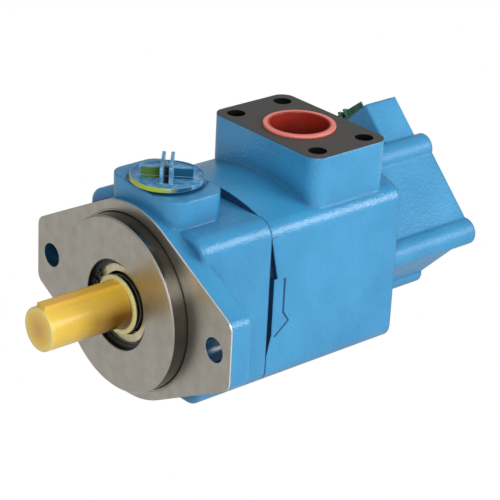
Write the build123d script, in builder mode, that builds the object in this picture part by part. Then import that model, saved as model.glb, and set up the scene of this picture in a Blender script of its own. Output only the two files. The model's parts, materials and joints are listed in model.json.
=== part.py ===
from build123d import *
import os
from math import cos, pi, radians, sin

# Double vane pump with a two-bolt flange, one inlet pad and two threaded outlets.
# Millimetres. The origin is the centre of the mounting face on the shaft axis.
# The shaft points along -Y, the rear cover lies at +Y and the inlet pad faces +Z.

os.makedirs("parts", exist_ok=True)

# Mounting end
flange_thickness = 14.3
flange_hub_radius = 57.5
flange_width = 172.6
flange_ear_height = 38.0
flange_corner_radius = 7.0
flange_edge_radius = 1.5
pilot_radius = 50.8
pilot_height = 9.65
pilot_chamfer = 0.8
mounting_bolt_spacing = 146.05
mounting_bolt_hole_radius = 7.15

# Front housing
front_housing_length = 58.6
front_body_start = 9.5
body_width = 100.0
body_top = 50.3
body_corner_radius = 10.0
body_edge_radius = 3.0
outlet_boss_width = 60.0
outlet_boss_length = 37.0
outlet_boss_height = 66.5
outlet_boss_corner_radius = 10.0
outlet_station = 24.0
outlet_thread_radius = 15.6
outlet_thread_depth = 20.0
outlet_passage_radius = 9.0
outlet_passage_reach = 6.0
outlet_spotface_radius = 22.5
outlet_spotface_depth = 0.6
front_chamber_radius = 32.0

# Inlet housing
inlet_housing_length = 97.9
crown_top = 55.5
crown_radius = 130.0
pad_width = 90.0
pad_length = 57.0
pad_top = 77.7
pad_corner_radius = 8.0
pad_station = 120.75
inlet_port_radius = 19.05
inlet_port_depth = 31.0
inlet_port_window = 15.0
inlet_bolt_spacing_x = 69.85
inlet_bolt_spacing_y = 35.7
inlet_bolt_hole_radius = 5.4
inlet_bolt_hole_depth = 27.0
inlet_cavity_radius = 29.0
rear_wall = 6.0
rear_wall_bore = 19.0
seam_relief_depth = 3.3
seam_relief_deepest = 5.6
seam_relief_inset = 3.5
seam_relief_top = 40.5
seam_relief_step = 15.0
seam_relief_bend = -19.0
seam_relief_foot = -33.0

# Rear cover, turned about the shaft axis
cover_turn = 45.0
cover_length = 68.5
cover_half_width = 33.8
cover_edge_radius = 2.0
cover_boss_height = 63.2
cover_boss_length = 26.0
cover_boss_width = 65.6
cover_boss_setback = 4.5
cover_outlet_radius = 8.75
cover_outlet_depth = 17.0
cover_passage_radius = 6.5
cover_chamber_radius = 20.5
cover_chamber_length = 17.0
cover_gallery_radius = 13.0
cover_gallery_reach = 8.5

# Screws
housing_screw_offset = 38.5
housing_screw_radius = 5.0
housing_screw_head_radius = 8.0
housing_screw_head_height = 10.0
housing_screw_grip = 24.0
cover_screw_offset = 29.1
cover_screw_radius = 4.0
cover_screw_head_radius = 6.5
cover_screw_head_height = 8.0
cover_screw_grip = 16.0
cover_column_radius = 8.2
screw_clearance = 0.3
thread_clearance = 0.05
head_clearance = 0.4
head_sink = 0.5
head_chamfer_share = 0.1
hex_share_of_head = 0.5
hex_depth_share = 0.5

# Shaft and key
shaft_radius = 11.11
shaft_tip = 60.0
shaft_tip_chamfer = 1.0
shaft_land = 1.1
shoulder_gap = 0.5
keyway_width = 4.76
key_length = 25.4
key_height = 4.76
key_seat_depth = 2.65
key_land = 7.5
key_clearance = 0.02
key_chamfer = 0.3
bearing_seat_radius = 12.5
seal_journal_radius = 13.5
front_spline_radius = 12.0
front_spline_root = 10.6
middle_shaft_radius = 10.4
rear_spline_radius = 8.8
rear_spline_root = 7.7
rear_journal_radius = 7.2
spline_teeth = 12
spline_share = 0.5
spline_clearance = 0.03
spline_run_out = 2.0
shaft_bore_clearance = 1.0

# Ball bearing, seal and their rings
bearing_recess = 4.65
bearing_width = 15.0
bearing_outer_radius = 26.0
seat_clearance = 0.02
outer_race_land = 22.6
inner_race_land = 16.4
ball_radius = 3.97
ball_count = 9
ball_clearance = 0.12
cage_thickness = 1.2
cage_width = 10.4
cage_pocket_clearance = 0.15
shield_inner_radius = 18.2
shield_thickness = 0.5
shield_inset = 0.6
seal_outer_radius = 21.0
seal_width = 7.0
seal_gap = 0.5
seal_case_thickness = 1.0
seal_lip_clearance = 0.08
seal_lip_root = 16.6
seal_lip_wall = 1.5
seal_spring_radius = 0.7
seal_wall = 3.5
bearing_ring_thickness = 1.8
bearing_ring_inner_radius = 23.4
bearing_ring_seat = 1.4
ring_lug_radius = 2.3
ring_lug_hole_radius = 0.9
ring_lug_spread = 8.0
ring_gap_angle = 160.0
ring_gap = 3.0
mouth_chamfer = 0.5
shaft_ring_thickness = 1.2
shaft_ring_seat = 0.9
shaft_ring_outer_radius = 15.2
ring_clearance = 0.1

# Front cartridge
front_ring_radius = 41.2
front_ring_width = 22.0
front_cam_minor = 27.8
front_cam_throw = 3.0
front_rotor_radius = 27.35
front_slot_depth = 9.9
front_vane_height = 8.6
front_vane_thickness = 2.0
front_vane_count = 12
front_wear_plate_thickness = 6.0
front_plate_thickness = 14.0
front_plate_hub_radius = 20.0
front_pin_radius = 2.5
front_pin_orbit = 36.2

# Rear cartridge
rear_ring_radius = 27.5
rear_ring_width = 17.0
rear_cam_minor = 21.4
rear_cam_throw = 2.4
rear_rotor_radius = 20.9
rear_slot_depth = 7.6
rear_vane_height = 6.4
rear_vane_thickness = 1.8
rear_vane_count = 10
rear_wear_plate_thickness = 5.0
rear_plate_thickness = 12.0
rear_plate_hub_radius = 15.6
rear_pin_radius = 1.6
rear_pin_orbit = 24.5
bush_wall = 1.8
bush_length = 16.0
journal_clearance = 0.04

# Shared cartridge clearances and seals
cavity_clearance = 0.1
rotor_end_clearance = 0.04
vane_clearance = 0.03
vane_tip_clearance = 0.25
vane_bevel = 0.7
slot_relief_share = 0.75
plate_float = 0.3
plate_spring_height = 4.0
plate_spring_thickness = 1.6
pin_reach = 4.0
pin_clearance = 0.05
seal_groove_depth = 2.4
seal_groove_width = 3.2
seal_groove_clearance = 0.05
housing_seal_orbit = 44.1
cover_seal_orbit = 30.3
o_ring_radius = 1.15
port_arc = 40.0
suction_angle = 45.0
pressure_angle = 135.0
plate_port_width = 4.0
vane_port_width = 2.4
ring_notch_width = 9.0
ring_notch_depth = 2.4

# Transport caps and plugs
cap_bore_clearance = 0.69
cap_wall = 0.85
cap_end_wall = 1.2
cap_end_gap = 0.3
cap_flange_radius = 17.0
cap_flange_thickness = 1.2
cap_key_clearance = 0.35
cap_edge_radius = 0.7
cap_ridge_setback = 1.6
inlet_plug_rim_radius = 21.1
inlet_plug_rim_thickness = 1.4
inlet_plug_wall = 1.6
inlet_plug_depth = 24.0
inlet_plug_floor = 1.8
plug_fit_clearance = 0.3
outlet_plug_disc_radius = 20.9
outlet_plug_disc_thickness = 1.7
outlet_plug_gap = 1.1
outlet_plug_stub_length = 12.0
outlet_plug_fin_length = 30.6
outlet_plug_fin_height = 5.6
outlet_plug_rib_length = 24.4
outlet_plug_rib_height = 9.3
outlet_plug_rib_spread = 2.5
outlet_plug_wall = 1.9
outlet_plug_lip = 0.9
outlet_plug_turn = 48.0
cover_plug_disc_radius = 13.5
cover_plug_disc_thickness = 1.5
cover_plug_gap = 0.8
cover_plug_stub_length = 10.0
cover_plug_fin_length = 24.0
cover_plug_fin_height = 7.2
cover_plug_rib_length = 15.0
cover_plug_rib_height = 7.2
cover_plug_rib_spread = 1.9
cover_plug_wall = 1.4
cover_plug_lip = 0.7
cover_plug_turn = 28.0
plug_lip_rounding = 0.4

# Stations along the shaft, worked out from the sizes above
inlet_start = front_housing_length
inlet_end = inlet_start + inlet_housing_length
cover_end = inlet_end + cover_length
bearing_front = bearing_recess - pilot_height
bearing_back = bearing_front + bearing_width
seal_front = bearing_back + seal_gap
seal_back = seal_front + seal_width
front_chamber_start = seal_back + seal_wall
front_plate_start = inlet_start - front_plate_thickness
front_ring_end = inlet_start + front_ring_width
front_wear_end = front_ring_end + front_wear_plate_thickness
rear_ring_start = inlet_end - rear_ring_width
rear_wear_start = rear_ring_start - rear_wear_plate_thickness
rear_plate_end = inlet_end + rear_plate_thickness
rear_spring_end = rear_plate_end + cover_chamber_length
rear_hub_end = rear_spring_end - plate_spring_height
front_hub_start = front_chamber_start + plate_spring_height
cover_outlet_station = cover_end - cover_boss_setback - cover_boss_length / 2
cover_gallery_end = cover_outlet_station + cover_gallery_reach
bush_start = inlet_end + spline_run_out * 2
bush_end = bush_start + bush_length
inlet_port_floor = pad_top - inlet_port_depth
ball_orbit = (outer_race_land + inner_race_land) / 2
ring_groove_start = bearing_front - bearing_ring_thickness - ring_clearance
shaft_shoulder = bearing_front - shaft_ring_thickness - shaft_land
cap_rim_end = shaft_shoulder - shoulder_gap
housing_screw_seat = inlet_end - housing_screw_head_height - head_sink
cover_screw_seat = cover_end - cover_screw_head_height - head_sink
keyway_start = key_land - shaft_tip
keyway_end = keyway_start + key_length
key_bottom = shaft_radius - key_seat_depth
key_top = key_bottom + key_height


def across(y, turn=0):
    """Plane square to the shaft at distance y: x along +X and y along +Z, turned by degrees."""
    turn = radians(turn)
    return Plane(origin=(0, y, 0), x_dir=(cos(turn), 0, sin(turn)), z_dir=(0, -1, 0))


def cover_port_plane(height):
    """Plane of the rear outlet at a height above the shaft axis, square to the port."""
    turn = radians(cover_turn)
    outward = Vector(-sin(turn), 0, cos(turn))
    centre = outward * height + Vector(0, cover_outlet_station, 0)
    return Plane(origin=centre, x_dir=(cos(turn), 0, sin(turn)), z_dir=outward)


def save(piece, label):
    """Name a finished piece and write its file."""
    piece.label = label
    export_step(piece, f"parts/{label}.step")


def stepped_bore(steps):
    """Solid of a stepped bore about the shaft, from (radius, start, end) steps."""
    with BuildPart() as hole:
        for radius, start, end in steps:
            with BuildSketch(across(start)):
                Circle(radius)
            extrude(amount=start - end)
    return hole.part


def four_holes(plane, offset, radius, depth):
    """Four round holes on a square pattern, going back from a plane against the shaft's end."""
    with BuildPart() as holes:
        with BuildSketch(plane):
            with GridLocations(2 * offset, 2 * offset, 2, 2):
                Circle(radius)
        extrude(amount=depth)
    return holes.part


def plain_ring(inner, outer, start, end):
    """Plain ring about the shaft between two radii and two stations."""
    with BuildPart() as ring:
        with BuildSketch(across(start)):
            Circle(outer)
            Circle(inner, mode=Mode.SUBTRACT)
        extrude(amount=start - end)
    return ring.part


def groove_ring(orbit, face):
    """Ring that cuts a sealing groove into a face that looks along -Y."""
    half = seal_groove_width / 2
    return plain_ring(orbit - half, orbit + half, face, face + seal_groove_depth)


def turned(points):
    """Solid turned about the shaft from a closed (radius, station) profile."""
    with BuildPart() as piece:
        with BuildSketch(Plane.XY):
            with BuildLine():
                Polyline(*points, close=True)
            make_face()
        revolve(axis=Axis.Y)
    return piece.part


def o_ring(orbit, station, radius):
    """Round-section ring about the shaft."""
    with BuildPart() as ring:
        with BuildSketch(Plane.XY):
            with Locations((orbit, station)):
                Circle(radius)
        revolve(axis=Axis.Y)
    return ring.part


def socket_screw(radius, head_radius, head_height, length):
    """Socket head screw along -Z with the head's seat at z = 0."""
    with BuildPart() as screw:
        Cylinder(radius, length, align=(Align.CENTER, Align.CENTER, Align.MAX))
        Cylinder(head_radius, head_height, align=(Align.CENTER, Align.CENTER, Align.MIN))
        top = screw.faces().sort_by(Axis.Z)[-1]
        chamfer(top.edges(), head_radius * head_chamfer_share)
        with BuildSketch(Plane.XY.offset(head_height)):
            RegularPolygon(head_radius * hex_share_of_head, 6, major_radius=False)
        extrude(amount=-head_height * hex_depth_share, mode=Mode.SUBTRACT)
    return screw.part


def screw_set(seat, turn, offset, radius, head_radius, head_height, length):
    """Four socket screws on a square pattern, with their heads towards +Y."""
    screw = socket_screw(radius, head_radius, head_height, length)
    turn = radians(turn)
    plane = Plane(origin=(0, seat, 0), x_dir=(cos(turn), 0, sin(turn)), z_dir=(0, 1, 0))
    with BuildPart(plane) as screws:
        with GridLocations(2 * offset, 2 * offset, 2, 2):
            add(screw)
    return screws.part


def spline_section(radius, root, growth):
    """Splined section with straight teeth, grown by a clearance all round."""
    tooth_width = 2 * pi * radius / spline_teeth * spline_share + 2 * growth
    tooth_length = radius - root + spline_teeth / 4
    with BuildSketch() as section:
        Circle(root + growth)
        with PolarLocations(radius + growth - tooth_length / 2, spline_teeth):
            Rectangle(tooth_length, tooth_width)
    return section.sketch


def cam_radius(minor, throw, angle):
    """Radius of the cam ring at an angle: smooth steps between two dwells and two lobes."""
    lobe = sin(angle) ** 2
    return minor + throw * lobe * lobe * (3 - 2 * lobe)


def cam_ring(outer, start, width, minor, throw, pin_orbit, pin_radius):
    """Cam ring: two-lobed bore, pin holes, and suction notches across both faces."""
    steps = 36
    points = []
    for i in range(steps):
        angle = 2 * pi * i / steps
        radius = cam_radius(minor, throw, angle)
        points.append((radius * cos(angle), radius * sin(angle)))
    with BuildPart() as ring:
        with BuildSketch(across(start)):
            Circle(outer)
            with BuildLine():
                Spline(*points, periodic=True)
            make_face(mode=Mode.SUBTRACT)
            with PolarLocations(pin_orbit, 2):
                Circle(pin_radius + pin_clearance, mode=Mode.SUBTRACT)
        extrude(amount=-width)
        for face in (start, start + width - ring_notch_depth):
            with BuildSketch(across(face)):
                with PolarLocations(outer, 2, start_angle=suction_angle):
                    Rectangle(2 * (outer - minor), ring_notch_width)
            extrude(amount=-ring_notch_depth, mode=Mode.SUBTRACT)
    return ring.part


def rotor(radius, start, width, spline, slots, slot_depth, vane_thickness):
    """Slotted rotor on its spline, with a round relief at the foot of each slot."""
    foot = radius - slot_depth
    slot_width = vane_thickness + 2 * vane_clearance
    with BuildPart() as body:
        with BuildSketch(across(start + rotor_end_clearance)):
            Circle(radius)
            add(spline, mode=Mode.SUBTRACT)
            with PolarLocations(radius, slots, start_angle=180 / slots):
                Rectangle(2 * slot_depth, slot_width, mode=Mode.SUBTRACT)
            with PolarLocations(foot, slots, start_angle=180 / slots):
                Circle(slot_width * slot_relief_share, mode=Mode.SUBTRACT)
        extrude(amount=2 * rotor_end_clearance - width)
    return body.part


def vane(cam_minor, height, thickness, start, width, angle):
    """One vane standing along a radius, with its tip bevelled to a narrow land."""
    tip = cam_minor - vane_tip_clearance
    half = thickness / 2
    with BuildPart() as blade:
        with BuildSketch(across(start + rotor_end_clearance, angle)):
            with BuildLine():
                Polyline(
                    (tip - height, -half),
                    (tip - vane_bevel, -half),
                    (tip, -half + vane_bevel),
                    (tip, half - vane_bevel),
                    (tip - vane_bevel, half),
                    (tip - height, half),
                    close=True,
                )
            make_face()
        extrude(amount=2 * rotor_end_clearance - width)
    return blade.part


def port_slot(orbit, middle, width):
    """Kidney-shaped port centred on an angle."""
    arc = CenterArc((0, 0), orbit, middle - port_arc / 2, port_arc)
    return SlotArc(arc, width)


def end_plate(outer, start, end, shaft_bore, orbit, port_angle, feed_orbit, pin_orbit, pin_radius):
    """End plate of a cartridge: shaft bore, two kidney ports, under-vane feeds and pin holes."""
    ports = [port_slot(orbit, angle, plate_port_width) for angle in (port_angle, port_angle + 180)]
    feeds = [port_slot(feed_orbit, angle, vane_port_width) for angle in (0, 90, 180, 270)]
    with BuildPart() as plate:
        with BuildSketch(across(start)):
            Circle(outer)
            Circle(shaft_bore, mode=Mode.SUBTRACT)
            for slot in ports + feeds:
                add(slot, mode=Mode.SUBTRACT)
            with PolarLocations(pin_orbit, 2):
                Circle(pin_radius + pin_clearance, mode=Mode.SUBTRACT)
        extrude(amount=start - end)
    return plate.part


def rim_groove(start, end):
    """Stations of the sealing groove in the middle of a plate's rim."""
    middle = (start + end) / 2
    return middle - seal_groove_width / 2, middle + seal_groove_width / 2


def pressure_plate(outer, face, back, shaft_bore, hub_radius, hub_end, orbit, feed_orbit, pin_orbit,
                   pin_radius):
    """End plate with a hub behind it and a sealing groove round its rim."""
    start, end = min(face, back), max(face, back)
    plate = end_plate(outer, start, end, shaft_bore, orbit, pressure_angle, feed_orbit, pin_orbit,
                      pin_radius)
    with BuildPart() as piece:
        add(plate)
        add(plain_ring(shaft_bore, hub_radius, min(back, hub_end), max(back, hub_end)))
        add(plain_ring(outer - seal_groove_depth, outer + seal_groove_depth, *rim_groove(start, end)),
            mode=Mode.SUBTRACT)
    return piece.part


def plate_seal(outer, start, end):
    """Square-section ring between a pressure plate's groove and the bore around it."""
    low, high = rim_groove(start, end)
    return plain_ring(
        outer - seal_groove_depth + seal_groove_clearance,
        outer + cavity_clearance - seal_groove_clearance,
        low + seal_groove_clearance,
        high - seal_groove_clearance,
    )


def pin_pair(orbit, radius, start, end):
    """Two locating pins on opposite sides of the shaft, just short of both hole ends."""
    with BuildPart() as pins:
        with BuildSketch(across(start + pin_clearance)):
            with PolarLocations(orbit, 2):
                Circle(radius)
        extrude(amount=start - end + 2 * pin_clearance)
    return pins.part


def disc_spring(hub_bore, hub_radius, chamber_radius, narrow, wide):
    """Coned spring washer between a plate's hub at narrow and a wall at wide."""
    inner = (hub_bore + hub_radius) / 2
    outer = (hub_radius + chamber_radius) / 2 + plate_spring_thickness
    wall = plate_spring_thickness if wide > narrow else -plate_spring_thickness
    return turned(((inner, narrow), (inner, narrow + wall), (outer, wide), (outer, wide - wall)))


def finned_plug(disc_radius, disc_thickness, gap, stub, stub_length, fin, ribs, wall, lip, turn):
    """Threaded plastic plug about +Z: stub, lipped disc, one cross fin and two taller ribs across it."""
    fin_length, fin_height = fin
    rib_length, rib_height, rib_spread = ribs
    with BuildPart() as plug:
        with BuildSketch(Plane.XY.offset(gap)):
            Circle(disc_radius)
        extrude(amount=disc_thickness)
        with BuildSketch(Plane.XY.offset(gap + disc_thickness)):
            Circle(disc_radius)
            Circle(disc_radius - lip, mode=Mode.SUBTRACT)
        extrude(amount=lip)
        fillet(plug.faces().sort_by(Axis.Z)[-1].edges(), lip * plug_lip_rounding)
        with BuildSketch(Plane.XY.offset(gap)):
            Circle(stub)
            Circle(stub - wall, mode=Mode.SUBTRACT)
        extrude(amount=-stub_length)
        with BuildSketch(Plane.XY.offset(gap + disc_thickness)):
            Rectangle(fin_length, wall, rotation=turn)
        extrude(amount=fin_height)
        with BuildSketch(Plane.XY.offset(gap + disc_thickness)):
            with PolarLocations(rib_spread, 2, start_angle=turn):
                Rectangle(wall, rib_length)
        extrude(amount=rib_height)
    return plug.part


# Front housing: two-bolt flange, pilot, square body and the front outlet boss
with BuildPart() as flange:
    with BuildSketch(across(0)) as flange_outline:
        Circle(flange_hub_radius)
        Rectangle(flange_width, flange_ear_height)
        make_hull()
        ears = flange_outline.vertices().group_by(Axis.X)
        fillet(ears[0] + ears[-1], flange_corner_radius)
    extrude(amount=-flange_thickness)
    fillet(flange.faces().sort_by(Axis.Y)[-1].edges(), flange_edge_radius)

with BuildPart() as front_body:
    with BuildSketch(across(front_body_start)) as front_section:
        with Locations((0, (body_top - body_width / 2) / 2)):
            Rectangle(body_width, body_top + body_width / 2)
        fillet(front_section.vertices(), body_corner_radius)
    extrude(amount=front_body_start - front_housing_length)
    fillet(front_body.faces().sort_by(Axis.Y)[0].edges(), body_edge_radius)

with BuildPart() as outlet_boss:
    with BuildSketch(Plane.XY):
        with Locations((0, outlet_station)):
            RectangleRounded(outlet_boss_width, outlet_boss_length, outlet_boss_corner_radius)
    extrude(amount=outlet_boss_height)

with BuildPart() as front_housing:
    add(flange.part)
    add(front_body.part)
    add(outlet_boss.part)
    with BuildSketch(across(0)):
        Circle(pilot_radius)
    extrude(amount=pilot_height)
    chamfer(front_housing.faces().sort_by(Axis.Y)[0].edges(), pilot_chamfer)
    add(stepped_bore((
        (bearing_outer_radius, -pilot_height, bearing_back),
        (bearing_outer_radius + bearing_ring_seat, ring_groove_start, bearing_front),
        (seal_outer_radius, bearing_back, seal_back),
        (seal_journal_radius + shaft_bore_clearance, seal_back, front_chamber_start),
        (front_chamber_radius, front_chamber_start, front_plate_start),
        (front_ring_radius + cavity_clearance, front_plate_start, front_housing_length),
    )), mode=Mode.SUBTRACT)
    mouth = front_housing.faces().sort_by(Axis.Y)[0].edges().sort_by(SortBy.LENGTH)[0]
    chamfer(mouth, mouth_chamfer)
    with BuildSketch(across(0)):
        with GridLocations(mounting_bolt_spacing, 0, 2, 1):
            Circle(mounting_bolt_hole_radius)
    extrude(amount=-flange_thickness, mode=Mode.SUBTRACT)
    # Front outlet: spot face cut clear of the flange, threaded hole and passage to the chamber
    with BuildSketch(Plane.XY.offset(outlet_boss_height - outlet_spotface_depth)):
        with Locations((0, outlet_station)):
            Circle(outlet_spotface_radius)
    extrude(amount=flange_hub_radius, mode=Mode.SUBTRACT)
    for radius, floor in (
        (outlet_thread_radius, outlet_boss_height - outlet_thread_depth),
        (outlet_passage_radius, front_chamber_radius - outlet_passage_reach),
    ):
        with BuildSketch(Plane.XY.offset(outlet_boss_height)):
            with Locations((0, outlet_station)):
                Circle(radius)
        extrude(amount=floor - outlet_boss_height, mode=Mode.SUBTRACT)
    # Tapped holes of the long screws, in the rear face
    add(four_holes(
        across(front_housing_length),
        housing_screw_offset,
        housing_screw_radius + thread_clearance,
        housing_screw_grip + screw_clearance,
    ), mode=Mode.SUBTRACT)
save(front_housing.part, "front_housing")

# Inlet housing: crowned body, four-bolt pad and a pocket for a cartridge at each end
with BuildPart() as inlet_body:
    with BuildSketch(across(inlet_start)) as inlet_section:
        with Locations((0, (crown_top - body_width / 2) / 2)):
            Rectangle(body_width, crown_top + body_width / 2)
        with Locations((0, crown_top - crown_radius)):
            Circle(crown_radius, mode=Mode.INTERSECT)
        fillet(inlet_section.vertices(), body_corner_radius)
    extrude(amount=-inlet_housing_length)

with BuildPart() as inlet_housing:
    add(inlet_body.part)
    with BuildSketch(Plane.XY):
        with Locations((0, pad_station)):
            RectangleRounded(pad_width, pad_length, pad_corner_radius)
    extrude(amount=pad_top)
    add(stepped_bore((
        (front_ring_radius + cavity_clearance, inlet_start, front_wear_end),
        (inlet_cavity_radius, front_wear_end, rear_wear_start - rear_wall),
        (rear_wall_bore, rear_wear_start - rear_wall, rear_wear_start),
        (rear_ring_radius + cavity_clearance, rear_wear_start, inlet_end),
    )), mode=Mode.SUBTRACT)
    # Inlet port: round at the pad, a narrower window where it enters the cavity
    with BuildSketch(Plane.XY.offset(pad_top)):
        with Locations((0, pad_station)):
            Circle(inlet_port_radius)
    extrude(amount=-inlet_port_depth, mode=Mode.SUBTRACT)
    window_start = pad_station - inlet_port_radius
    window_end = rear_wear_start - rear_wall
    with BuildSketch(Plane.XY.offset(inlet_port_floor)):
        with Locations((0, (window_start + window_end) / 2)):
            RectangleRounded(2 * inlet_port_window, window_end - window_start, inlet_port_window / 3)
    extrude(amount=-inlet_port_floor, mode=Mode.SUBTRACT)
    with BuildSketch(Plane.XY.offset(pad_top)):
        with Locations((0, pad_station)):
            with GridLocations(inlet_bolt_spacing_x, inlet_bolt_spacing_y, 2, 2):
                Circle(inlet_bolt_hole_radius)
    extrude(amount=-inlet_bolt_hole_depth, mode=Mode.SUBTRACT)
    # Long screws: clear holes, with sunk heads in the rear corners
    add(four_holes(
        across(inlet_end),
        housing_screw_offset,
        housing_screw_radius + screw_clearance,
        inlet_housing_length,
    ), mode=Mode.SUBTRACT)
    add(four_holes(
        across(inlet_end),
        housing_screw_offset,
        housing_screw_head_radius + head_clearance,
        inlet_end - housing_screw_seat,
    ), mode=Mode.SUBTRACT)
    # Tapped holes of the cover screws, turned with the cover
    add(four_holes(
        across(inlet_end, cover_turn),
        cover_screw_offset,
        cover_screw_radius + thread_clearance,
        cover_screw_grip + screw_clearance,
    ), mode=Mode.SUBTRACT)
    # Locating pins stand in the floors of both pockets
    for plane, orbit, radius in (
        (across(front_wear_end), front_pin_orbit, front_pin_radius),
        (across(rear_wear_start - pin_reach), rear_pin_orbit, rear_pin_radius),
    ):
        with BuildSketch(plane):
            with PolarLocations(orbit, 2):
                Circle(radius + pin_clearance)
        extrude(amount=-pin_reach, mode=Mode.SUBTRACT)
    add(groove_ring(housing_seal_orbit, inlet_start), mode=Mode.SUBTRACT)
    # Cast reliefs along the seam on both sides
    half = body_width / 2
    for side in (half, seam_relief_inset - half):
        with BuildSketch(Plane.YZ.offset(side)):
            with BuildLine():
                Polyline(
                    (inlet_start, seam_relief_top),
                    (inlet_start + seam_relief_deepest, seam_relief_step),
                    (inlet_start + seam_relief_depth, seam_relief_step),
                    (inlet_start + seam_relief_depth, seam_relief_bend),
                    (inlet_start, seam_relief_foot),
                    close=True,
                )
            make_face()
        extrude(amount=-seam_relief_inset, mode=Mode.SUBTRACT)
save(inlet_housing.part, "inlet_housing")

# Rear cover: square casting with screw columns and the rear outlet boss
with BuildPart() as rear_cover:
    with BuildSketch(across(inlet_end, cover_turn)) as cover_section:
        RectangleRounded(2 * cover_half_width, 2 * cover_half_width, cover_edge_radius)
        with GridLocations(2 * cover_screw_offset, 2 * cover_screw_offset, 2, 2):
            Circle(cover_column_radius)
    extrude(amount=-cover_length)
    with BuildSketch(cover_port_plane(0)):
        RectangleRounded(cover_boss_width, cover_boss_length, cover_edge_radius)
    extrude(amount=cover_boss_height)
    add(stepped_bore((
        (rear_ring_radius + cavity_clearance, inlet_end, rear_plate_end),
        (cover_chamber_radius, rear_plate_end, rear_spring_end),
        (cover_gallery_radius, rear_spring_end, cover_gallery_end),
    )), mode=Mode.SUBTRACT)
    for radius, depth in (
        (cover_outlet_radius, cover_outlet_depth),
        (cover_passage_radius, cover_boss_height),
    ):
        with BuildSketch(cover_port_plane(cover_boss_height)):
            Circle(radius)
        extrude(amount=-depth, mode=Mode.SUBTRACT)
    add(four_holes(
        across(cover_end, cover_turn),
        cover_screw_offset,
        cover_screw_radius + screw_clearance,
        cover_length,
    ), mode=Mode.SUBTRACT)
    add(four_holes(
        across(cover_end, cover_turn),
        cover_screw_offset,
        cover_screw_head_radius + head_clearance,
        cover_end - cover_screw_seat,
    ), mode=Mode.SUBTRACT)
    add(groove_ring(cover_seal_orbit, inlet_end), mode=Mode.SUBTRACT)
save(rear_cover.part, "rear_cover")

# Screws
save(
    screw_set(
        housing_screw_seat,
        0,
        housing_screw_offset,
        housing_screw_radius,
        housing_screw_head_radius,
        housing_screw_head_height,
        housing_screw_seat - front_housing_length + housing_screw_grip,
    ),
    "housing_screws",
)
save(
    screw_set(
        cover_screw_seat,
        cover_turn,
        cover_screw_offset,
        cover_screw_radius,
        cover_screw_head_radius,
        cover_screw_head_height,
        cover_screw_seat - inlet_end + cover_screw_grip,
    ),
    "cover_screws",
)

# Drive shaft: turned steps, a snap ring groove, two splines and a closed keyway
with BuildPart() as drive_shaft:
    add(turned((
        (0, -shaft_tip),
        (shaft_radius - shaft_tip_chamfer, -shaft_tip),
        (shaft_radius, shaft_tip_chamfer - shaft_tip),
        (shaft_radius, shaft_shoulder),
        (bearing_seat_radius, shaft_shoulder),
        (bearing_seat_radius, shaft_shoulder + shaft_land),
        (bearing_seat_radius - shaft_ring_seat, shaft_shoulder + shaft_land),
        (bearing_seat_radius - shaft_ring_seat, bearing_front),
        (bearing_seat_radius, bearing_front),
        (bearing_seat_radius, bearing_back),
        (seal_journal_radius, bearing_back),
        (seal_journal_radius, front_chamber_start),
        (front_spline_radius, front_chamber_start),
        (front_spline_radius, front_plate_start),
        (front_spline_root, front_plate_start),
        (front_spline_root, front_ring_end + spline_run_out),
        (middle_shaft_radius, front_wear_end),
        (middle_shaft_radius, rear_wear_start - spline_run_out),
        (rear_spline_radius, rear_wear_start - spline_run_out),
        (rear_spline_radius, rear_wear_start + spline_run_out),
        (rear_spline_root, rear_wear_start + spline_run_out),
        (rear_spline_root, inlet_end + spline_run_out),
        (rear_journal_radius, inlet_end + spline_run_out),
        (rear_journal_radius, bush_end + spline_run_out),
        (0, bush_end + spline_run_out),
    )))
    for radius, root, start, end in (
        (front_spline_radius, front_spline_root, front_plate_start, front_ring_end + spline_run_out),
        (rear_spline_radius, rear_spline_root, rear_wear_start + spline_run_out,
         inlet_end + spline_run_out),
    ):
        with BuildSketch(across(start)):
            add(spline_section(radius, root, 0))
        extrude(amount=start - end)
    with BuildSketch(Plane.XY.offset(key_bottom)):
        with Locations((0, (keyway_start + keyway_end) / 2)):
            Rectangle(keyway_width + 2 * key_clearance, key_length + 2 * key_clearance)
    extrude(amount=key_top - key_bottom, mode=Mode.SUBTRACT)
save(drive_shaft.part, "drive_shaft")

with BuildPart() as shaft_key:
    with BuildSketch(Plane.XY.offset(key_bottom)):
        with Locations((0, (keyway_start + keyway_end) / 2)):
            Rectangle(keyway_width, key_length)
    extrude(amount=key_height)
    chamfer(shaft_key.faces().sort_by(Axis.Z)[-1].edges(), key_chamfer)
save(shaft_key.part, "shaft_key")

# Ball bearing, with the rings that hold it in the bore and on the shaft
groove_radius = ball_radius + ball_clearance
groove_station = (bearing_front + bearing_back) / 2
with BuildPart() as outer_race:
    add(plain_ring(outer_race_land, bearing_outer_radius - seat_clearance, bearing_front, bearing_back))
    add(o_ring(ball_orbit, groove_station, groove_radius), mode=Mode.SUBTRACT)
save(outer_race.part, "bearing_outer_race")

with BuildPart() as inner_race:
    add(plain_ring(bearing_seat_radius + seat_clearance, inner_race_land, bearing_front, bearing_back))
    add(o_ring(ball_orbit, groove_station, groove_radius), mode=Mode.SUBTRACT)
save(inner_race.part, "bearing_inner_race")

with BuildPart(across(groove_station)) as balls:
    with PolarLocations(ball_orbit, ball_count):
        Sphere(ball_radius)
save(balls.part, "bearing_balls")

with BuildPart() as cage:
    add(plain_ring(
        ball_orbit - cage_thickness / 2,
        ball_orbit + cage_thickness / 2,
        groove_station - cage_width / 2,
        groove_station + cage_width / 2,
    ))
    with Locations(across(groove_station)):
        with PolarLocations(ball_orbit, ball_count):
            Cylinder(ball_radius + cage_pocket_clearance, 4 * cage_thickness, rotation=(0, 90, 0),
                     mode=Mode.SUBTRACT)
save(cage.part, "bearing_cage")

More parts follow.
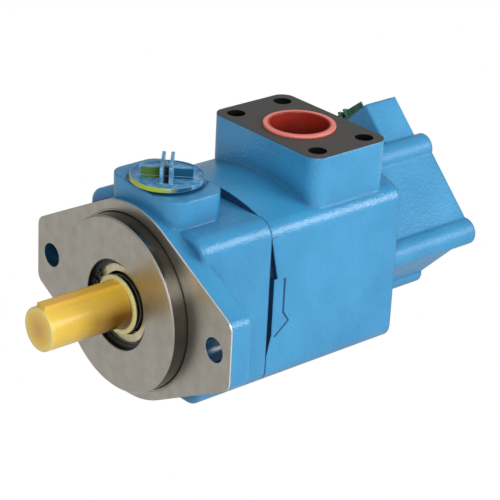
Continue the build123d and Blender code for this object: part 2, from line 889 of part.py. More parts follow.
with BuildPart() as shields:
    for start in (bearing_front + shield_inset, bearing_back - shield_inset - shield_thickness):
        add(plain_ring(
            shield_inner_radius,
            outer_race_land - seat_clearance,
            start,
            start + shield_thickness,
        ))
save(shields.part, "bearing_shields")

ring_lug_orbit = bearing_ring_inner_radius - ring_lug_radius / 3
with BuildPart() as bearing_ring:
    with BuildSketch(across(ring_groove_start + ring_clearance)):
        Circle(bearing_outer_radius + bearing_ring_seat - ring_clearance)
        Circle(bearing_ring_inner_radius, mode=Mode.SUBTRACT)
        for side in (-1, 1):
            with PolarLocations(ring_lug_orbit, 1, start_angle=ring_gap_angle + side * ring_lug_spread):
                Circle(ring_lug_radius)
                Circle(ring_lug_hole_radius, mode=Mode.SUBTRACT)
        with PolarLocations(bearing_outer_radius, 1, start_angle=ring_gap_angle):
            Rectangle(4 * ring_lug_radius, ring_gap, mode=Mode.SUBTRACT)
    extrude(amount=-bearing_ring_thickness)
save(bearing_ring.part, "bearing_snap_ring")

with BuildPart() as shaft_ring:
    with BuildSketch(across(shaft_shoulder + shaft_land + ring_clearance)):
        Circle(shaft_ring_outer_radius)
        Circle(bearing_seat_radius - shaft_ring_seat + ring_clearance, mode=Mode.SUBTRACT)
        with PolarLocations(bearing_seat_radius, 1, start_angle=ring_gap_angle):
            Rectangle(bearing_seat_radius, ring_gap, mode=Mode.SUBTRACT)
    extrude(amount=ring_clearance - shaft_ring_thickness)
save(shaft_ring.part, "shaft_snap_ring")

# Shaft seal: pressed case, rubber lip and garter spring
case_outer = seal_outer_radius - seat_clearance
case_inner = seal_lip_root + seat_clearance
save(
    turned((
        (case_inner, seal_front),
        (case_outer, seal_front),
        (case_outer, seal_back),
        (case_outer - seal_case_thickness, seal_back),
        (case_outer - seal_case_thickness, seal_front + seal_case_thickness),
        (case_inner, seal_front + seal_case_thickness),
    )),
    "seal_case",
)
lip_edge = seal_journal_radius + seal_lip_clearance
lip_back = seal_back - seal_case_thickness
lip_middle = (seal_front + seal_back) / 2
save(
    turned((
        (seal_lip_root, seal_front),
        (seal_lip_root, lip_middle),
        (seal_lip_root - seal_lip_wall / 3, lip_back),
        (lip_edge + seal_lip_wall / 3, lip_back),
        (lip_edge, lip_middle + seal_case_thickness),
        (seal_lip_root - seal_lip_wall, lip_middle),
        (seal_lip_root - seal_lip_wall, seal_front),
    )),
    "seal_lip",
)
save(
    o_ring(
        seal_lip_root + seal_spring_radius + seat_clearance,
        lip_back - seal_spring_radius,
        seal_spring_radius,
    ),
    "seal_spring",
)

# Front cartridge
front_bore = front_spline_radius + shaft_bore_clearance
front_port_orbit = front_cam_minor + front_cam_throw / 3
front_feed_orbit = front_rotor_radius - front_slot_depth
save(
    cam_ring(front_ring_radius, inlet_start, front_ring_width, front_cam_minor, front_cam_throw,
             front_pin_orbit, front_pin_radius),
    "front_cam_ring",
)
save(
    rotor(front_rotor_radius, inlet_start, front_ring_width,
          spline_section(front_spline_radius, front_spline_root, spline_clearance),
          front_vane_count, front_slot_depth, front_vane_thickness),
    "front_rotor",
)
save(
    pressure_plate(front_ring_radius, inlet_start, front_plate_start + plate_float, front_bore,
                   front_plate_hub_radius, front_hub_start, front_port_orbit, front_feed_orbit,
                   front_pin_orbit, front_pin_radius),
    "front_pressure_plate",
)
save(
    end_plate(front_ring_radius, front_ring_end, front_wear_end, front_bore, front_port_orbit,
              suction_angle, front_feed_orbit, front_pin_orbit, front_pin_radius),
    "front_wear_plate",
)
save(
    disc_spring(front_bore, front_plate_hub_radius, front_chamber_radius, front_hub_start,
                front_chamber_start),
    "front_plate_spring",
)
save(plate_seal(front_ring_radius, front_plate_start + plate_float, inlet_start), "front_plate_seal")
save(
    pin_pair(front_pin_orbit, front_pin_radius, inlet_start - pin_reach, front_wear_end + pin_reach),
    "front_locating_pins",
)

# Rear cartridge
rear_bore = rear_spline_radius + shaft_bore_clearance
bush_outer = rear_journal_radius + journal_clearance + bush_wall
rear_port_orbit = rear_cam_minor + rear_cam_throw / 3
rear_feed_orbit = rear_rotor_radius - rear_slot_depth
save(
    cam_ring(rear_ring_radius, rear_ring_start, rear_ring_width, rear_cam_minor, rear_cam_throw,
             rear_pin_orbit, rear_pin_radius),
    "rear_cam_ring",
)
save(
    rotor(rear_rotor_radius, rear_ring_start, rear_ring_width,
          spline_section(rear_spline_radius, rear_spline_root, spline_clearance),
          rear_vane_count, rear_slot_depth, rear_vane_thickness),
    "rear_rotor",
)
save(
    pressure_plate(rear_ring_radius, inlet_end, rear_plate_end - plate_float,
                   bush_outer + seat_clearance, rear_plate_hub_radius, rear_hub_end, rear_port_orbit,
                   rear_feed_orbit, rear_pin_orbit, rear_pin_radius),
    "rear_pressure_plate",
)
save(
    end_plate(rear_ring_radius, rear_wear_start, rear_ring_start, rear_bore, rear_port_orbit,
              suction_angle, rear_feed_orbit, rear_pin_orbit, rear_pin_radius),
    "rear_wear_plate",
)
save(
    disc_spring(bush_outer, rear_plate_hub_radius, cover_chamber_radius, rear_hub_end,
                rear_spring_end),
    "rear_plate_spring",
)
save(plate_seal(rear_ring_radius, inlet_end, rear_plate_end - plate_float), "rear_plate_seal")
save(
    pin_pair(rear_pin_orbit, rear_pin_radius, rear_wear_start - pin_reach, inlet_end + pin_reach),
    "rear_locating_pins",
)
save(
    plain_ring(rear_journal_radius + journal_clearance, bush_outer, bush_start, bush_end),
    "rear_bush",
)

# Vanes
for i in range(front_vane_count):
    angle = 360 / front_vane_count * (i + 0.5)
    save(
        vane(front_cam_minor, front_vane_height, front_vane_thickness, inlet_start, front_ring_width,
             angle),
        f"front_vane_{i + 1}",
    )
for i in range(rear_vane_count):
    angle = 360 / rear_vane_count * (i + 0.5)
    save(
        vane(rear_cam_minor, rear_vane_height, rear_vane_thickness, rear_ring_start, rear_ring_width,
             angle),
        f"rear_vane_{i + 1}",
    )

# Sealing rings at the two casting joints
seal_lift = o_ring_radius + seal_groove_clearance
save(o_ring(housing_seal_orbit, inlet_start + seal_lift, o_ring_radius), "housing_o_ring")
save(o_ring(cover_seal_orbit, inlet_end + seal_lift, o_ring_radius), "cover_o_ring")

# Shaft cap: closed sleeve with a ridge over the key and a flared rim
cap_bore = shaft_radius + cap_bore_clearance
cap_outer = cap_bore + cap_wall
cap_inner_end = -shaft_tip - cap_end_gap
cap_tip = cap_inner_end - cap_end_wall
channel_width = keyway_width + 2 * cap_key_clearance
channel_top = key_top + cap_key_clearance
ridge_start = cap_tip + cap_ridge_setback
with BuildPart() as shaft_cap:
    with BuildSketch(across(cap_tip)):
        Circle(cap_outer)
    extrude(amount=cap_tip - cap_rim_end)
    fillet(shaft_cap.faces().sort_by(Axis.Y)[0].edges(), cap_edge_radius)
    with BuildSketch(across(ridge_start)):
        with Locations((0, (channel_top + cap_wall) / 2)):
            Rectangle(channel_width + 2 * cap_wall, channel_top + cap_wall)
    extrude(amount=ridge_start - cap_rim_end)
    with BuildSketch(across(cap_rim_end - cap_flange_thickness)):
        Circle(cap_flange_radius)
    extrude(amount=-cap_flange_thickness)
    with BuildSketch(across(cap_inner_end)):
        Circle(cap_bore)
    extrude(amount=cap_inner_end - cap_rim_end, mode=Mode.SUBTRACT)
    with BuildSketch(across(ridge_start + cap_wall)):
        with Locations((0, channel_top / 2)):
            Rectangle(channel_width, channel_top)
    extrude(amount=ridge_start + cap_wall - cap_rim_end, mode=Mode.SUBTRACT)
save(shaft_cap.part, "shaft_cap")

# Inlet plug: thin cup pushed into the inlet port
plug_outer = inlet_port_radius - plug_fit_clearance
with BuildPart() as inlet_plug:
    for radius, height in (
        (inlet_plug_rim_radius, inlet_plug_rim_thickness),
        (plug_outer, -inlet_plug_depth),
    ):
        with BuildSketch(Plane.XY.offset(pad_top)):
            with Locations((0, pad_station)):
                Circle(radius)
        extrude(amount=height)
    with BuildSketch(Plane.XY.offset(pad_top + inlet_plug_rim_thickness)):
        with Locations((0, pad_station)):
            Circle(plug_outer - inlet_plug_wall)
    extrude(amount=inlet_plug_floor - inlet_plug_depth - inlet_plug_rim_thickness, mode=Mode.SUBTRACT)
    fillet(inlet_plug.faces().sort_by(Axis.Z)[-1].edges(), inlet_plug_rim_thickness * 0.3)
save(inlet_plug.part, "inlet_plug")

# Threaded outlet plugs
with BuildPart(Plane(origin=(0, outlet_station, outlet_boss_height))) as front_outlet_plug:
    add(finned_plug(
        outlet_plug_disc_radius,
        outlet_plug_disc_thickness,
        outlet_plug_gap,
        outlet_thread_radius - plug_fit_clearance,
        outlet_plug_stub_length,
        (outlet_plug_fin_length, outlet_plug_fin_height),
        (outlet_plug_rib_length, outlet_plug_rib_height, outlet_plug_rib_spread),
        outlet_plug_wall,
        outlet_plug_lip,
        outlet_plug_turn,
    ))
save(front_outlet_plug.part, "front_outlet_plug")

with BuildPart(cover_port_plane(cover_boss_height)) as rear_outlet_plug:
    add(finned_plug(
        cover_plug_disc_radius,
        cover_plug_disc_thickness,
        cover_plug_gap,
        cover_outlet_radius - plug_fit_clearance,
        cover_plug_stub_length,
        (cover_plug_fin_length, cover_plug_fin_height),
        (cover_plug_rib_length, cover_plug_rib_height, cover_plug_rib_spread),
        cover_plug_wall,
        cover_plug_lip,
        cover_plug_turn,
    ))
save(rear_outlet_plug.part, "rear_outlet_plug")
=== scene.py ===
import json
import math

import bpy
import numpy as np
from mathutils import Matrix, Vector


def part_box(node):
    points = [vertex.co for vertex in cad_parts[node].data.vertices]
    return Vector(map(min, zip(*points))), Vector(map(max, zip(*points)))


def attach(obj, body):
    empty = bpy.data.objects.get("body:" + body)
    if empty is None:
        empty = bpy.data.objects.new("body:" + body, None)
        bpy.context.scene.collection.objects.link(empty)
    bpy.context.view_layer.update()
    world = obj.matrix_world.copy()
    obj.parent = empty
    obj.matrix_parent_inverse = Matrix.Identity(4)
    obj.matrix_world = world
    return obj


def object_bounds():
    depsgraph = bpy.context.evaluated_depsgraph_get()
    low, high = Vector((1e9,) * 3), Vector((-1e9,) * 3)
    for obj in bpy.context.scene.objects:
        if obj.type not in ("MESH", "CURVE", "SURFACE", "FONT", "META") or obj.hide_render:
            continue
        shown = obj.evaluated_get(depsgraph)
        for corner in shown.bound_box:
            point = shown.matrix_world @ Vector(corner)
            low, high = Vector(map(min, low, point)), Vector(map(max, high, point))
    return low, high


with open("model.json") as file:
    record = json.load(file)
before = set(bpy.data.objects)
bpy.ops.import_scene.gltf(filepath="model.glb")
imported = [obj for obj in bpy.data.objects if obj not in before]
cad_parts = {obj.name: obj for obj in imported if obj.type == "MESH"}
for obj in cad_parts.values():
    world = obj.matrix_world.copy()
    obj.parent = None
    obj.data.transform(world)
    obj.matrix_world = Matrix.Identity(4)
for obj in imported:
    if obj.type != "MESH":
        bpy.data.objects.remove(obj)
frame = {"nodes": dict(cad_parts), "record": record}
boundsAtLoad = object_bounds()
nodes = frame["nodes"]


# Camera at the photograph's viewing angle, solved on the flange and the inlet pad
cameraSet = {
    "place": (0.81324, -0.64382, 0.50840),
    "azimuth": 48.0286,
    "elevation": 24.5989,
    "roll": 2.9519,
    "lens": 150.098,
    "sensor": 36.0,
    "clip": (0.01, 20),
}


def aimCamera(settings):
    """Forward from azimuth and elevation, then right and up turned together by the roll."""
    a, e, r = (math.radians(settings[k]) for k in ("azimuth", "elevation", "roll"))
    forward = Vector((-math.sin(a) * math.cos(e), math.cos(a) * math.cos(e), -math.sin(e)))
    level = Vector((math.cos(a), math.sin(a), 0))
    upright = level.cross(forward)
    right = math.cos(r) * level + math.sin(r) * upright
    up = math.cos(r) * upright - math.sin(r) * level
    data = bpy.data.cameras.new("photoCamera")
    data.lens = settings["lens"]
    data.sensor_width = settings["sensor"]
    data.clip_start, data.clip_end = settings["clip"]
    camera = bpy.data.objects.new("photoCamera", data)
    turn = Matrix((right, up, -forward)).transposed().to_4x4()
    camera.matrix_world = Matrix.Translation(settings["place"]) @ turn
    bpy.context.scene.collection.objects.link(camera)
    bpy.context.scene.camera = camera


aimCamera(cameraSet)
bpy.context.scene.view_settings.view_transform = "Standard"


# Small tools for colours, nodes and materials
def srgb(code):
    """Linear colour from an sRGB hex code."""
    parts = [int(code[i:i + 2], 16) / 255 for i in (1, 3, 5)]
    linear = [c / 12.92 if c <= 0.04045 else ((c + 0.055) / 1.055) ** 2.4 for c in parts]
    return (*linear, 1.0)


def past(base, steps):
    """Values at the given steps from a base."""
    return [base + step for step in steps]


def addNode(tree, kind, values=None, links=None, **settings):
    """Add one node with its settings, socket values and incoming links."""
    node = tree.nodes.new("ShaderNode" + kind)
    for key, value in settings.items():
        setattr(node, key, value)
    for key, value in (values or {}).items():
        node.inputs[key].default_value = value
    for key, source in (links or {}).items():
        tree.links.new(source, node.inputs[key])
    return node


def feed(tree, node, values):
    """Give sockets their values, each a constant or another node's output."""
    for key, value in values.items():
        if isinstance(value, bpy.types.NodeSocket):
            tree.links.new(value, node.inputs[key])
        else:
            node.inputs[key].default_value = value


def newMaterial(name):
    """Empty node material with its shader and the object's own coordinates."""
    material = bpy.data.materials.new(name)
    material.use_nodes = True
    tree = material.node_tree
    tree.nodes.clear()
    shader = addNode(tree, "BsdfPrincipled")
    addNode(tree, "OutputMaterial", links={"Surface": shader.outputs[0]})
    place = addNode(tree, "TexCoord").outputs["Object"]
    return material, tree, shader, place


def calc(tree, operation, first, second=0.0, third=0.0):
    """One sum on sockets or numbers."""
    node = addNode(tree, "Math", operation=operation)
    feed(tree, node, {0: first, 1: second, 2: third})
    return node.outputs[0]


def blend(tree, factor, first, second):
    """Mix two numbers, each a constant or a socket."""
    node = addNode(tree, "Mix")
    feed(tree, node, {0: factor, 2: first, 3: second})
    return node.outputs[0]


def blendColour(tree, factor, first, second):
    """Mix two colours, each a linear colour or a socket."""
    node = addNode(tree, "Mix", data_type="RGBA")
    feed(tree, node, {0: factor, 6: first, 7: second})
    return node.outputs[2]


def twoTone(tree, factor, codes):
    """Colour between two sRGB codes."""
    return blendColour(tree, factor, *(srgb(code) for code in codes))


def tint(tree, mask, colour, code):
    """Another colour where the mask is 1."""
    return blendColour(tree, mask, colour, srgb(code))


def ramp(tree, factor, low, high):
    """Clamped straight line from 0 at low to 1 at high."""
    node = addNode(tree, "MapRange", {"From Min": low, "From Max": high}, {"Value": factor})
    return node.outputs[0]


def spread(tree, factor, span):
    """Low + factor * (high - low)."""
    low, high = span
    return calc(tree, "MULTIPLY_ADD", factor, high - low, low)


def noise(tree, place, size, detail=2.0, roughness=0.5):
    """Noise whose features are about size metres across."""
    values = {"Scale": 1 / size, "Detail": detail, "Roughness": roughness}
    return addNode(tree, "TexNoise", values, {"Vector": place}).outputs["Fac"]


def axes(tree, place):
    """The three coordinates of a point."""
    return addNode(tree, "SeparateXYZ", links={0: place}).outputs


def distance(tree, first, second):
    """Length of a two-part vector."""
    squares = calc(tree, "MULTIPLY_ADD", first, first, calc(tree, "MULTIPLY", second, second))
    return calc(tree, "SQRT", squares)


def absolute(tree, value):
    """Value without its sign."""
    return calc(tree, "ABSOLUTE", value)


def both(tree, *masks):
    """1 where every mask is 1."""
    result = masks[0]
    for mask in masks[1:]:
        result = calc(tree, "MULTIPLY", result, mask)
    return result


def between(tree, value, low, high, soft=0.0001):
    """1 where low < value < high."""
    return both(tree, ramp(tree, value, low, low + soft), ramp(tree, value, high, high - soft))


def softCorners(tree, radius, samples=6):
    """Normal that turns smoothly round every corner, in shading alone."""
    node = addNode(tree, "Bevel", samples=samples)
    feed(tree, node, {"Radius": radius})
    return node.outputs[0]


def bumpy(tree, height, depth, normal):
    """Normal disturbed by a height that is depth metres at 1."""
    values = {"Strength": 1.0, "Distance": depth}
    return addNode(tree, "Bump", values, {"Height": height, "Normal": normal}).outputs[0]


# The enamel on the castings, with painted shade in its creases, and the finishes of the places that
# it leaves bare, some of them painted shade or painted highlight, colours in sRGB
enamel = {
    "colours": ("#3082B0", "#3B8FBD"),
    "toneSize": 0.03,
    "toneRange": (0.3, 0.7),
    "roughness": (0.24, 0.36),
    "roughSize": 0.004,
    "metallic": 0.0,
    "corner": 0.0024,
    "grain": 0.0017,
    "grainDepth": 0.00026,
    "swell": 0.012,
    "swellDepth": 0.00016,
    # Painted shade: the deep blue that the enamel takes in its creases
    "creaseShade": "#0C4674",
    "creaseShadeReach": 0.016,
    "creaseShadeRange": (0.95, 0.35),
    "creaseShadeShare": 0.75,
    "patchSize": 0.009,
    "patchRange": (0.3, 0.7),
    "coverDuller": 0.14,
}
zoneFinishes = {
    "turnedIron": {"colours": ("#B6B2A8", "#A9A499"), "roughness": (0.3, 0.42), "metallic": 1.0,
                   "corner": 0.0004, "grain": 0.0008, "grainDepth": 0.00007},
    # Bare cut edge, lighter than the turned face as a painted highlight
    "cutEdgeHighlight": {"colours": ("#E4E2DC", "#D2CFC8"), "roughness": (0.3, 0.4), "metallic": 0.6,
                "corner": 0.0003, "grain": 0.0006, "grainDepth": 0.00001},
    # Painted shade: the turned iron of the pilot's side, made darker than the face
    "pilotSideShade": {"colours": ("#716D66", "#635F59"), "roughness": (0.13, 0.2), "metallic": 1.0,
                  "corner": 0.0004, "grain": 0.0006, "grainDepth": 0.000014},
    "oiledIron": {"colours": ("#363737", "#423E3A"), "roughness": (0.45, 0.62), "metallic": 0.0,
                  "corner": 0.0003, "grain": 0.0009, "grainDepth": 0.00002},
    # Near black oiled iron, and painted shade in the bore, the pad's holes and the pilot's undercut
    "darkBore": {"colours": ("#141312", "#24211E"), "roughness": (0.25, 0.4), "metallic": 0.4,
                 "corner": 0.0003, "grain": 0.0009, "grainDepth": 0.00002},
    "deepShade": {"colours": ("#06304F", "#083A60"), "roughness": (0.5, 0.7), "metallic": 0.0,
                  "corner": 0.0004, "grain": 0.0009, "grainDepth": 0.00002},
    # Painted shade: dark navy enamel inside the mounting holes
    "holeShadeEnamel": {"colours": ("#0B2E44", "#123F5B"), "roughness": (0.2, 0.3), "metallic": 0.0,
                   "corner": 0.0003, "grain": 0.0009, "grainDepth": 0.00002},
}
# Places on the castings, in metres in the frame's own axes. A Fade or an Edge is where a mask
# begins and where it is full
places = {
    "flangeEdge": (0.0006, 0.0004),
    "edgeLine": (0.0001, 0.001),
    "pastPilot": (0.054, 0.055),
    "pilotRadius": 0.0508,
    "pilotFace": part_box("front_housing")[0][1],
    "pilotWall": (-0.0003, 0.0003),
    "pilotFootFade": (-0.0001, -0.0003),
    "pilotTipFade": (0.0008, 0.001),
    "footFace": (-0.0004, 0.0004),
    "footInner": (-0.0002, 0.0007),
    "footOuter": (0.0013, 0.0016),
    "boltHole": (0.073025, 0.00715),
    "holeWallFade": (0.0003, 0.0002),
    "boltHoleEdge": (0.0001, 0.0003),
    "bore": 0.0279,
    "boreWallFade": (0.0, -0.0001),
    "boreEdge": (-0.0094, -0.0091),
    "seam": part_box("inlet_housing")[0][1],
    "seamFade": (0.0004, 0.0002),
    "padTop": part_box("inlet_housing")[1][2],
    "padTopFade": (-0.0003, -0.0002),
    "padStation": 0.12075,
    "padHoles": (0.034925, 0.01785, 0.0054),
    "padHoleEdge": (-0.0001, -0.0002),
    "padHoleFloor": (0.045, 0.046),
    "sideFace": 0.05,
    "sideSkin": 0.0001,
    "reliefFloor": 0.0465,
    "reliefSkin": 0.0003,
    "reliefSpan": (-0.001, 0.0059),
    "reliefHeight": (-0.0335, 0.0408),
}


def flangeZone(tree, x, y, z):
    """Turned mounting face and pilot."""
    return ramp(tree, y, *places["flangeEdge"])


def edgeLineZone(tree, x, y, z):
    """Bare cut edge round the flange, made brighter than the turned face as a painted highlight."""
    outside = ramp(tree, distance(tree, x, z), *places["pastPilot"])
    return both(tree, between(tree, y, *places["edgeLine"]), outside)


def pilotSideZone(tree, x, y, z):
    """Turned side of the pilot, a darker copy of the turned iron as painted shade."""
    radius = distance(tree, x, z)
    wall = between(tree, radius, *past(places["pilotRadius"], places["pilotWall"]))
    foot = ramp(tree, y, *places["pilotFootFade"])
    tip = ramp(tree, y, *past(places["pilotFace"], places["pilotTipFade"]))
    return both(tree, wall, foot, tip)


def footLineZone(tree, x, y, z):
    """Two fine rings of the undercut at the pilot's foot, dark with painted shade."""
    radius = distance(tree, x, z)
    face = between(tree, y, *places["footFace"])
    inner = between(tree, radius, *past(places["pilotRadius"], places["footInner"]))
    outer = between(tree, radius, *past(places["pilotRadius"], places["footOuter"]))
    return both(tree, face, calc(tree, "MAXIMUM", inner, outer))


def boltHoleZone(tree, x, y, z):
    """Walls of the two mounting holes, enamel darkened with painted shade."""
    reach, radius = places["boltHole"]
    away = distance(tree, calc(tree, "SUBTRACT", absolute(tree, x), reach), z)
    wall = ramp(tree, away, *past(radius, places["holeWallFade"]))
    return both(tree, wall, ramp(tree, y, *places["boltHoleEdge"]))


def boreZone(tree, x, y, z):
    """Dark inside of the bearing bore: oiled iron, deepened with painted shade."""
    wall = ramp(tree, distance(tree, x, z), *past(places["bore"], places["boreWallFade"]))
    return both(tree, wall, ramp(tree, y, *places["boreEdge"]))


def seamZone(tree, x, y, z):
    """Shadow line where the two castings meet."""
    away = absolute(tree, calc(tree, "SUBTRACT", y, places["seam"]))
    return ramp(tree, away, *places["seamFade"])


def padZone(tree, x, y, z):
    """Milled top of the inlet pad."""
    return ramp(tree, z, *past(places["padTop"], places["padTopFade"]))


def padHoleZone(tree, x, y, z):
    """Tapped holes in the pad, black inside with painted shade."""
    alongX, alongY, radius = places["padHoles"]
    fromMiddle = absolute(tree, calc(tree, "SUBTRACT", y, places["padStation"]))
    fromX = calc(tree, "SUBTRACT", absolute(tree, x), alongX)
    fromY = calc(tree, "SUBTRACT", fromMiddle, alongY)
    wall = ramp(tree, distance(tree, fromX, fromY), *past(radius, places["holeWallFade"]))
    edge = ramp(tree, z, *past(places["padTop"], places["padHoleEdge"]))
    return both(tree, wall, edge, ramp(tree, z, *places["padHoleFloor"]))


def reliefZone(tree, x, y, z):
    """Deep cast reliefs beside the seam."""
    floor = places["reliefFloor"] - places["reliefSkin"]
    face = places["sideFace"] - places["sideSkin"]
    return both(tree, between(tree, absolute(tree, x), floor, face),
                between(tree, y, *past(places["seam"], places["reliefSpan"])),
                between(tree, z, *places["reliefHeight"]))


def castingMaterial(name, zones, duller=0.0):
    """Blue enamel over sand-cast iron with painted shade in its creases, giving way to another
    finish, or to painted shade or highlight, where a zone's mask is 1.
    """
    material, tree, shader, place = newMaterial(name)
    x, y, z = axes(tree, place)
    tone = noise(tree, place, enamel["toneSize"], 3)
    colour = twoTone(tree, ramp(tree, tone, *enamel["toneRange"]), enamel["colours"])
    # Painted shade: the colour darkens towards a deep blue where ambient occlusion finds a crease
    shelter = addNode(tree, "AmbientOcclusion", {"Distance": enamel["creaseShadeReach"]}, samples=8)
    creaseShade = ramp(tree, shelter.outputs["AO"], *enamel["creaseShadeRange"])
    creaseShade = calc(tree, "MULTIPLY", creaseShade, enamel["creaseShadeShare"])
    colour = tint(tree, creaseShade, colour, enamel["creaseShade"])
    film = noise(tree, place, enamel["roughSize"], 2)
    rough = spread(tree, film, past(duller, enamel["roughness"]))
    metallic, corner = enamel["metallic"], enamel["corner"]
    peel = noise(tree, place, enamel["grain"], 1)
    height = calc(tree, "MULTIPLY", peel, enamel["grainDepth"])
    swell = noise(tree, place, enamel["swell"], 1)
    height = calc(tree, "MULTIPLY_ADD", swell, enamel["swellDepth"], height)
    for zone, finish in zones:
        mask = zone(tree, x, y, z)
        style = zoneFinishes[finish]
        patch = noise(tree, place, enamel["patchSize"], 4, 0.6)
        bare = twoTone(tree, ramp(tree, patch, *enamel["patchRange"]), style["colours"])
        grain = noise(tree, place, style["grain"], 2)
        bareHeight = calc(tree, "MULTIPLY", grain, style["grainDepth"])
        colour = blendColour(tree, mask, colour, bare)
        rough = blend(tree, mask, rough, spread(tree, patch, style["roughness"]))
        metallic = blend(tree, mask, metallic, style["metallic"])
        corner = blend(tree, mask, corner, style["corner"])
        height = blend(tree, mask, height, bareHeight)
    feed(tree, shader, {
        "Base Color": colour,
        "Roughness": rough,
        "Metallic": metallic,
        "Normal": bumpy(tree, height, 1.0, softCorners(tree, corner)),
    })
    return material


def dressNode(name, material):
    """Give a CAD node its finish."""
    data = nodes[name].data
    data.materials.clear()
    data.materials.append(material)


dressNode("front_housing", castingMaterial("enamelledIronFrontHousing", (
    (flangeZone, "turnedIron"),
    (edgeLineZone, "cutEdgeHighlight"),
    (pilotSideZone, "pilotSideShade"),
    (boltHoleZone, "holeShadeEnamel"),
    (footLineZone, "darkBore"),
    (boreZone, "darkBore"),
    (seamZone, "deepShade"),
)))
dressNode("inlet_housing", castingMaterial("enamelledIronInletHousing", (
    (padZone, "oiledIron"),
    (padHoleZone, "darkBore"),
    (seamZone, "deepShade"),
    (reliefZone, "deepShade"),
)))
dressNode("rear_cover", castingMaterial("enamelledIronRearCover", (), enamel["coverDuller"]))
print("castings painted")


def mottled(name, settings):
    """Plain shader with uneven colour and roughness over the piece."""
    material, tree, shader, place = newMaterial(name)
    spots = noise(tree, place, settings["grain"], 3)
    feed(tree, shader, {
        "Base Color": twoTone(tree, ramp(tree, spots, 0.35, 0.65), settings["colours"]),
        "Roughness": spread(tree, spots, settings["roughness"]),
        "Metallic": settings["metallic"],
        "Normal": bumpy(tree, spots, settings["depth"], softCorners(tree, settings["corner"])),
    })
    return material


finishes = {
    "groundSteel": {"colours": ("#B4B2AC", "#A5A29B"), "roughness": (0.22, 0.36),
                    "metallic": 1.0, "grain": 0.002, "depth": 0.000004, "corner": 0.0003},
    "bearingSteel": {"colours": ("#8E8B84", "#7E7B75"), "roughness": (0.2, 0.3),
                     "metallic": 1.0, "grain": 0.003, "depth": 0.000002, "corner": 0.0002},
    # Shield steel tinted cream: a painted reflection of the yellow cap
    "shieldCapReflection": {"colours": ("#E2D9B4", "#D2C79C"), "roughness": (0.3, 0.42),
                    "metallic": 0.6, "grain": 0.004, "depth": 0.000003, "corner": 0.0002},
    "blackSteel": {"colours": ("#1A1A1A", "#242220"), "roughness": (0.3, 0.45),
                   "metallic": 0.7, "grain": 0.002, "depth": 0.000004, "corner": 0.0003},
    "turnedBrass": {"colours": ("#B08A4A", "#A07B3E"), "roughness": (0.3, 0.4),
                    "metallic": 1.0, "grain": 0.002, "depth": 0.000003, "corner": 0.0002},
    "machinedIron": {"colours": ("#8A8780", "#7A776F"), "roughness": (0.4, 0.55),
                     "metallic": 0.9, "grain": 0.0015, "depth": 0.000008, "corner": 0.0003},
    "nitrileRubber": {"colours": ("#1C1C1D", "#242425"), "roughness": (0.5, 0.65),
                      "metallic": 0.0, "grain": 0.0015, "depth": 0.00001, "corner": 0.0003},
}
made = {name: mottled(name, settings) for name, settings in finishes.items()}
finishOfSlot = {
    "black_steel": "blackSteel",
    "ground_steel": "groundSteel",
    "bearing_steel": "bearingSteel",
    "brass": "turnedBrass",
    "cast_iron": "machinedIron",
    "rubber": "nitrileRubber",
}
for part in frame["record"]["subparts"]:
    if part["material_slot"] in finishOfSlot:
        dressNode(part["node"], made[finishOfSlot[part["material_slot"]]])
# The shields carry a painted reflection of the cap
dressNode("bearing_shields", made["shieldCapReflection"])


# Turned faces of the bearing, painted dark as shade in the bore, with thin rings of painted
# highlight where their edges catch light.
# Each line is the radius where it starts and its width
raceSet = {
    # Painted shade on the faces, painted highlight in the rings
    "face": ("#121110", "#1F1D1B"),
    "highlightLine": "#C2BBA2",
    "lineSoft": 0.00008,
    "filmSize": 0.004,
    "filmRange": (0.3, 0.5),
    "roughness": (0.35, 0.5),
    "corner": 0.0002,
}
raceHighlightRings = {
    "bearing_inner_race": ((0.0149, 0.0002), (0.0161, 0.0003)),
    "bearing_outer_race": ((0.0229, 0.0003), (0.0240, 0.0003), (0.0256, 0.0003)),
    "bearing_snap_ring": ((0.0268, 0.0004),),
}


def raceMaterial(name, settings, lines):
    """Dark steel in painted shade, with thin rings of painted highlight."""
    material, tree, shader, place = newMaterial(name)
    x, y, z = axes(tree, place)
    radius = distance(tree, x, z)
    film = noise(tree, place, settings["filmSize"], 2)
    mask = 0.0
    for start, width in lines:
        ring = between(tree, radius, start, start + width, settings["lineSoft"])
        mask = calc(tree, "MAXIMUM", mask, ring)
    mask = calc(tree, "MULTIPLY", mask, ramp(tree, film, *settings["filmRange"]))
    feed(tree, shader, {
        "Base Color": tint(tree, mask, twoTone(tree, film, settings["face"]), settings["highlightLine"]),
        "Roughness": spread(tree, film, settings["roughness"]),
        "Normal": softCorners(tree, settings["corner"]),
    })
    return material


for raceName, lines in raceHighlightRings.items():
    dressNode(raceName, raceMaterial("shadedRace_" + raceName, raceSet, lines))
print("small pieces dressed")


